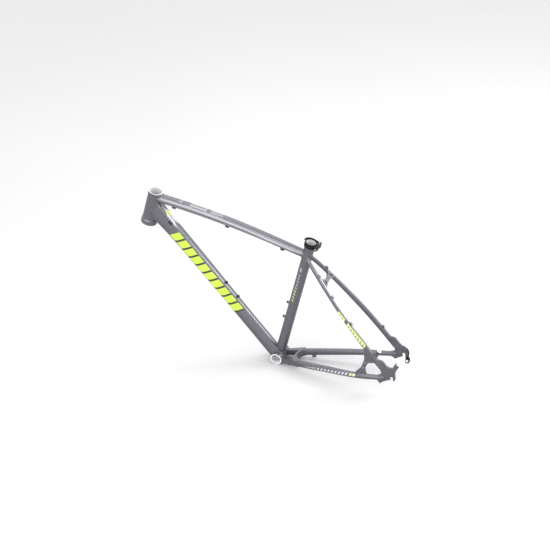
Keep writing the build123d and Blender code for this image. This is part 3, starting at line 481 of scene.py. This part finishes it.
# ---------------------------------------- mesh helpers
def piece(name, vertices, faces, material, body):
    """A new smooth mesh piece that rides on a body."""
    mesh = bpy.data.meshes.new(name)
    mesh.from_pydata(vertices, [], faces)
    mesh.update()
    made = bpy.data.objects.new(name, mesh)
    bpy.context.scene.collection.objects.link(made)
    mesh.materials.append(material)
    mesh.shade_smooth()
    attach(made, body)
    return made


def tube_faces(rings, points, closed):
    """Quads over a run of rings of points; an open run gets a cap at each end."""
    faces = []
    for i in range(rings if closed else rings - 1):
        j = (i + 1) % rings
        for a in range(points):
            b = (a + 1) % points
            faces.append((i * points + a, i * points + b, j * points + b, j * points + a))
    if not closed:
        faces.append(tuple(range(points)))
        faces.append(tuple((rings - 1) * points + a for a in reversed(range(points))))
    return faces


# ---------------------------------------- weld beads
TOUCH = 0.25 * MM
SHORTEST_WELD = 6 * MM
BEAD_STEP, BEAD_PITCH = 0.55 * MM, 2.1 * MM
BEAD_HEIGHT = 0.30 * MM
BEAD_SINK, BEAD_ROOT = 0.12 * MM, 0.5 * MM
BEAD_PROFILE = [k / 6 for k in range(7)]
SMOOTH_REACH = 3


def clean_mesh(node):
    bm = bmesh.new()
    bm.from_mesh(frame["nodes"][node].data)
    bmesh.ops.remove_doubles(bm, verts=bm.verts, dist=1e-6)
    bm.normal_update()
    return bm


solid = {name: clean_mesh(name) for name in frame["record"]["behaviour"]["bodies"]["frame"]}
tree = {name: BVHTree.FromBMesh(bm) for name, bm in solid.items()}


def lies_on(face, other):
    """Whether a cut end face of one node lies against another node."""
    _, normal, _, distance = other.find_nearest(face.calc_center_median())
    return distance is not None and distance < TOUCH and face.normal.dot(normal) < -0.7


def seam_runs(name, other_name):
    """Runs of edges where a node's outside meets another node.

    Each run is its points, the surface normals there, the ways into the surface, and whether it is closed.
    """
    other = tree[other_name]
    lying = {f.index for f in solid[name].faces if lies_on(f, other)}
    links = {}
    for edge in solid[name].edges:
        if len(edge.link_faces) != 2:
            continue
        cut = [f for f in edge.link_faces if f.index in lying]
        if len(cut) != 1:
            continue
        face = next(f for f in edge.link_faces if f is not cut[0])
        if face.normal.dot(cut[0].normal) > 0.9:
            continue
        a, b = edge.verts
        middle = (a.co + b.co) / 2
        tangent = (b.co - a.co).normalized()
        into = face.normal.cross(tangent)
        if into.dot(face.calc_center_median() - middle) < 0:
            into = -into
        for start, end in ((a, b), (b, a)):
            links.setdefault(start.index, []).append((end.index, face.normal.copy(), into.copy()))
    places = {v.index: v.co.copy() for v in solid[name].verts if v.index in links}
    runs, used = [], set()
    starts = sorted(links, key=lambda v: (len(links[v]) != 1, v))
    for first in starts:
        if first in used:
            continue
        run, at = [first], first
        used.add(first)
        while True:
            onward = [n for n, _, _ in links[at] if n not in used]
            if not onward:
                break
            at = onward[0]
            used.add(at)
            run.append(at)
        closed = len(run) > 2 and run[0] in [n for n, _, _ in links[run[-1]]]
        points = [places[v] for v in run]
        normals = [sum((n for _, n, _ in links[v]), Vector()).normalized() for v in run]
        ways = [sum((w for _, _, w in links[v]), Vector()).normalized() for v in run]
        runs.append((points, normals, ways, closed))
    return runs


def run_length(points, closed):
    total = sum((b - a).length for a, b in zip(points, points[1:]))
    return total + ((points[0] - points[-1]).length if closed else 0.0)


def even(run, step):
    """The run with its points evenly spaced, and smoothed over a bead's width."""
    points, normals, ways, closed = run
    loop = points + [points[0]] if closed else points
    extra = [normals + [normals[0]] if closed else normals, ways + [ways[0]] if closed else ways]
    count = max(4, ceil(run_length(points, closed) / step))
    lengths = [0.0]
    for a, b in zip(loop, loop[1:]):
        lengths.append(lengths[-1] + (b - a).length)
    out, k = [], 0
    for i in range(count if closed else count + 1):
        want = lengths[-1] * i / count
        while k < len(lengths) - 2 and lengths[k + 1] < want:
            k += 1
        share = (want - lengths[k]) / max(lengths[k + 1] - lengths[k], 1e-12)
        out.append([row[k].lerp(row[k + 1], min(share, 1.0)) for row in (loop, *extra)])
    smooth = []
    for i in range(len(out)):
        near = []
        for d in range(-SMOOTH_REACH, SMOOTH_REACH + 1):
            j = (i + d) % len(out) if closed else min(max(i + d, 0), len(out) - 1)
            near.append(out[j])
        smooth.append([sum((n[c] for n in near), Vector()) / len(near) for c in range(3)])
    return smooth


def bead(name, run, other, width):
    """A rippled fillet of weld along a run."""
    closed = run[3]
    rows = even(run, BEAD_STEP)
    count, vertices = len(rows), []
    for i, (point, normal, way) in enumerate(rows):
        ahead = rows[(i + 1) % count][0] if closed or i < count - 1 else point
        behind = rows[i - 1][0] if closed or i > 0 else point
        tangent = (ahead - behind).normalized()
        _, facing, _, _ = other.find_nearest(point)
        normal, way = normal.normalized(), (way - tangent * way.dot(tangent)).normalized()
        across = tangent.cross(facing).normalized()
        if across.dot(normal) - 0.5 * across.dot(way) < 0:
            across = -across
        out = (normal + facing).normalized() if (normal + facing).length > 0.2 else normal
        ends = 1.0 if closed else min(1.0, 0.35 + 0.25 * min(i, count - 1 - i))
        leg = width * ends * (1.0 + 0.05 * sin(i * 0.37) + 0.03 * sin(i * 0.11 + 1.0))
        start = point + across * leg - facing * BEAD_SINK
        end = point + way * leg - normal * BEAD_SINK
        crown = point + (across + way) * leg * 0.5 + out * leg * 0.30
        for u in BEAD_PROFILE:
            phase = i * BEAD_STEP / BEAD_PITCH - 0.55 * (1 - (2 * u - 1) ** 2)
            ripple = BEAD_HEIGHT * abs(sin(pi * phase)) * sin(pi * u) ** 0.5
            curve = start * (1 - u) ** 2 + crown * 2 * u * (1 - u) + end * u**2
            vertices.append(curve + out * ripple * ends)
        vertices.append(point - out * BEAD_ROOT)
    faces = tube_faces(count, len(BEAD_PROFILE) + 1, closed)
    return piece(name, vertices, faces, paint, "frame")


def outward(run):
    """Above 0 where the surface beside a closed run faces away from the run's middle."""
    points, normals = run[0], run[1]
    middle = sum(points, Vector()) / len(points)
    return sum(n.dot(p - middle) for p, n in zip(points, normals)) > 0


# Each pair is the piece that is cut to fit, the piece it is welded to, and the bead's leg in mm.
WELDS = [
    ("top_tube", "head_tube", 3.0), ("down_tube", "head_tube", 3.2), ("down_tube", "top_tube", 2.6),
    ("top_tube", "seat_tube", 2.8), ("down_tube", "bb_shell", 3.0), ("seat_tube", "bb_shell", 2.8),
    ("down_tube", "seat_tube", 2.6), ("chainstay_yoke", "bb_shell", 2.6),
    ("chainstay_yoke", "seat_tube", 2.4),
    ("chainstay_left", "chainstay_yoke", 2.0), ("chainstay_right", "chainstay_yoke", 2.0),
    ("seatstay_left", "seat_tube", 2.2), ("seatstay_right", "seat_tube", 2.2),
    ("seatstay_left", "top_tube", 2.0), ("seatstay_right", "top_tube", 2.0),
    ("seatstay_bridge", "seatstay_left", 1.8), ("seatstay_bridge", "seatstay_right", 1.8),
    ("disc_brace", "seatstay_left", 1.7), ("disc_brace", "chainstay_left", 1.7),
    ("chainstay_left", "dropout_left", 1.7), ("seatstay_left", "dropout_left", 1.7),
    ("chainstay_right", "dropout_right", 1.7), ("seatstay_right", "dropout_right", 1.7),
    ("brake_post_front", "seatstay_left", 1.6), ("mudguard_boss", "seat_tube", 1.3),
    ("chainstay_cable_stop", "chainstay_right", 1.2), ("cable_port_rim", "down_tube", 0.9),
]
for place in ("front", "middle", "rear"):
    WELDS.append((f"top_tube_guide_{place}", "top_tube", 1.0))
for place in ("left_upper", "left_middle", "left_lower", "right_upper", "right_lower"):
    WELDS.append((f"seatstay_guide_{place}", f"seatstay_{place.split('_')[0]}", 0.9))
for tube in ("down_tube", "seat_tube"):
    WELDS.append((f"{tube}_bottle_bosses", tube, 0.9))

for cut, kept, leg in WELDS:
    runs = [r for r in seam_runs(cut, kept) if run_length(r[0], r[3]) > SHORTEST_WELD]
    runs = [r for r in runs if not r[3] or outward(r)]
    for k, run in enumerate(runs):
        bead(f"weld_{cut}_to_{kept}_{k}", run, tree[kept], leg * MM)

for bm in solid.values():
    bm.free()


# ---------------------------------------- bottom bracket threads
THREAD_PITCH, THREAD_LENGTH = 1.058 * MM, 23.0 * MM
THREAD_INSET = 1.2 * MM
THREAD_ROOT, THREAD_CREST = (shell_bore_mm + 0.05) * MM, (shell_bore_mm - 0.5) * MM
TURN_STEPS, FADE_STEPS = 72, 30


def bare_metal(name, axis):
    """Freshly cut aluminium, with scratches and turning marks."""
    g = Graph(name)
    scratch = g.noise(400.0, 5.0, 0.7)
    color = g.mix(scratch, BARE, Vector(BARE) * 1.3)
    roughness = g.math("MULTIPLY_ADD", scratch, 0.15, 0.2)
    return g.finish(color, 0.5, roughness, turned_rings(g, g.radius(axis)), strength=0.1, distance=0.0001)


def thread(name, start):
    """A helical ridge on the bore's wall, along +Y from a start, closed and capped."""
    count = int((THREAD_LENGTH / THREAD_PITCH - 1) * TURN_STEPS)
    vertices = []
    for i in range(count + 1):
        angle = tau * i / TURN_STEPS
        at = start + THREAD_PITCH * i / TURN_STEPS
        fade = min(1.0, i / FADE_STEPS, (count - i) / FADE_STEPS)
        crest = THREAD_ROOT + (THREAD_CREST - THREAD_ROOT) * fade
        for share, radius in ((0.0, THREAD_ROOT), (0.46, crest), (0.92, THREAD_ROOT)):
            vertices.append((radius * cos(angle), at + THREAD_PITCH * share, radius * sin(angle)))
    return piece(name, vertices, tube_faces(count + 1, 3, False), thread_metal, "frame")


thread_metal = bare_metal("cut_thread_metal", across_y)
shell_half = mount["bb_shell"]["dims"]["length_mm"] * MM / 2
thread("thread_right", shell_half - THREAD_INSET - THREAD_LENGTH)
thread("thread_left", THREAD_INSET - shell_half)


# ---------------------------------------- floor, light, camera
FLOOR_SIZE = 40.0
AZIMUTH, ELEVATION, ROLL = radians(25.03), radians(31.86), radians(-4.72)
CAMERA_DISTANCE, CAMERA_TARGET = 3.4817, Vector((0.0017, 0, 0.26525))
FOCAL_LENGTH, SENSOR = 67.09, 36.0
LENS_RISE = 0.0273  # the picture is framed a little above the lens axis
WORLD_COLOR, WORLD_STRENGTH = (0.99, 0.99, 1.0), 1.75
LIGHT_TARGET = Vector((0.0, 0.0, 0.28))
# Each softbox's name, direction from the target, distance, size, and how bright its face looks.
SOFTBOXES = (
    ("front_left", (-0.36, -0.84, 0.46), 3.0, (2.0, 0.5), 3.0),
    ("low_strip", (-0.14, -0.98, 0.20), 3.2, (3.2, 0.22), 24.0),
    ("rear_side", (0.78, 0.48, 0.37), 3.0, (1.1, 0.7), 24.0),
    ("rear_high", (0.90, 0.02, 0.40), 3.0, (0.5, 0.5), 24.0),
    ("overhead", (-0.25, 0.55, 0.80), 3.0, (2.2, 1.4), 1.8),
)


def floor_material():
    """A light grey sweep, exposed to almost white."""
    g = Graph("studio_floor")
    color = g.mix(g.noise(1.2, 2.0), (0.455, 0.455, 0.457), (0.475, 0.475, 0.477))
    return g.finish(color, 0.0, 0.8, g.noise(300.0, 2.0), strength=0.02, distance=0.0002, specular=0.1)


def add_floor():
    mesh = bpy.data.meshes.new("floor")
    half = FLOOR_SIZE / 2
    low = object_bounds()[0][2]
    corners = [(-half, -half, low), (half, -half, low), (half, half, low), (-half, half, low)]
    mesh.from_pydata(corners, [], [(0, 1, 2, 3)])
    mesh.materials.append(floor_material())
    floor = bpy.data.objects.new("floor", mesh)
    bpy.context.scene.collection.objects.link(floor)


def add_softbox(name, direction, distance, size, radiance):
    """A large even light, facing the target from a direction."""
    data = bpy.data.lights.new(name, "AREA")
    data.shape = "RECTANGLE"
    data.size, data.size_y = size
    data.energy = radiance * pi * size[0] * size[1]
    light = bpy.data.objects.new(name, data)
    bpy.context.scene.collection.objects.link(light)
    way = Vector(direction).normalized()
    light.location = LIGHT_TARGET + way * distance
    light.rotation_euler = (-way).to_track_quat("-Z", "Y").to_euler()


def add_world(color, strength):
    world = bpy.data.worlds.new("studio")
    world.use_nodes = True
    background = world.node_tree.nodes["Background"]
    background.inputs[0].default_value = (*color, 1)
    background.inputs[1].default_value = strength
    bpy.context.scene.world = world


def add_camera():
    back = Vector((sin(AZIMUTH) * cos(ELEVATION), -cos(AZIMUTH) * cos(ELEVATION), sin(ELEVATION)))
    level = Vector((cos(AZIMUTH), sin(AZIMUTH), 0))
    upright = back.cross(level)
    right = level * cos(ROLL) + upright * sin(ROLL)
    up = upright * cos(ROLL) - level * sin(ROLL)
    data = bpy.data.cameras.new("camera")
    data.lens, data.sensor_width, data.shift_y = FOCAL_LENGTH, SENSOR, LENS_RISE
    camera = bpy.data.objects.new("camera", data)
    bpy.context.scene.collection.objects.link(camera)
    turn = Matrix((right, up, back)).transposed().to_4x4()
    camera.matrix_world = Matrix.Translation(CAMERA_TARGET + back * CAMERA_DISTANCE) @ turn
    bpy.context.scene.camera = camera


add_floor()
add_world(WORLD_COLOR, WORLD_STRENGTH)
for softbox in SOFTBOXES:
    add_softbox(*softbox)
bpy.context.scene.view_settings.view_transform = "Standard"
add_camera()
